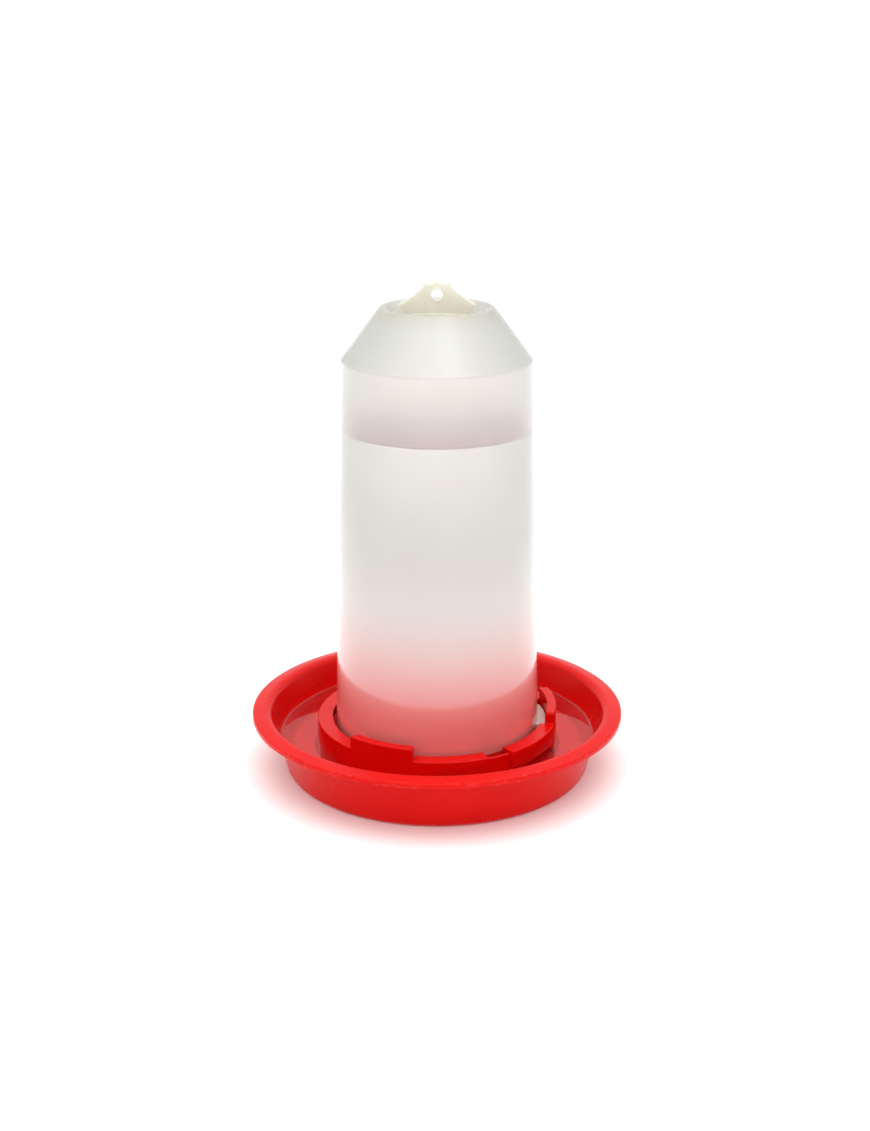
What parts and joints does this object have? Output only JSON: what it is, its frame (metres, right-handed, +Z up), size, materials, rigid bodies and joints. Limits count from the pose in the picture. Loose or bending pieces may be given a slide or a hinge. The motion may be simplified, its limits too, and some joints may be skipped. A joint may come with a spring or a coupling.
{
  "type": "poultry waterer fount",
  "caption": "Gravity-fed poultry drinker: a translucent open-bottomed jar with a hanging lug stands mouth down and twist-locks into the bayonet collar of a round red drinking tray.",
  "frame": {"origin": "centre of the tray's foot ring, on the plane that the drinker stands on", "axes": "+Z up along the axis that the jar turns about, -Y towards the front, +X to the right seen from the front; the hanging lug lies in the XZ plane"},
  "size_m": [0.2694, 0.2694, 0.3566],
  "materials": {
    "tray_red": "glossy injection-moulded polypropylene",
    "natural_polyethylene": "translucent natural polyethylene, blow-moulded, with a soft sheen"
  },
  "bodies": {
    "tray": {"tray_pan": "tray_red", "bayonet_hook_1": "tray_red", "bayonet_hook_2": "tray_red", "bayonet_hook_3": "tray_red"},
    "fount": {"fount_jar": "natural_polyethylene", "lock_lug_1": "natural_polyethylene", "lock_lug_2": "natural_polyethylene", "lock_lug_3": "natural_polyethylene", "hanging_lug": "natural_polyethylene"}
  },
  "joints": [
    {"name": "fount_twist", "type": "hinge", "parent": "tray", "child": "fount", "pos_m": [0, 0, 0], "axis": [0, 0, -1], "range_deg": [0, 39]}
  ]
}
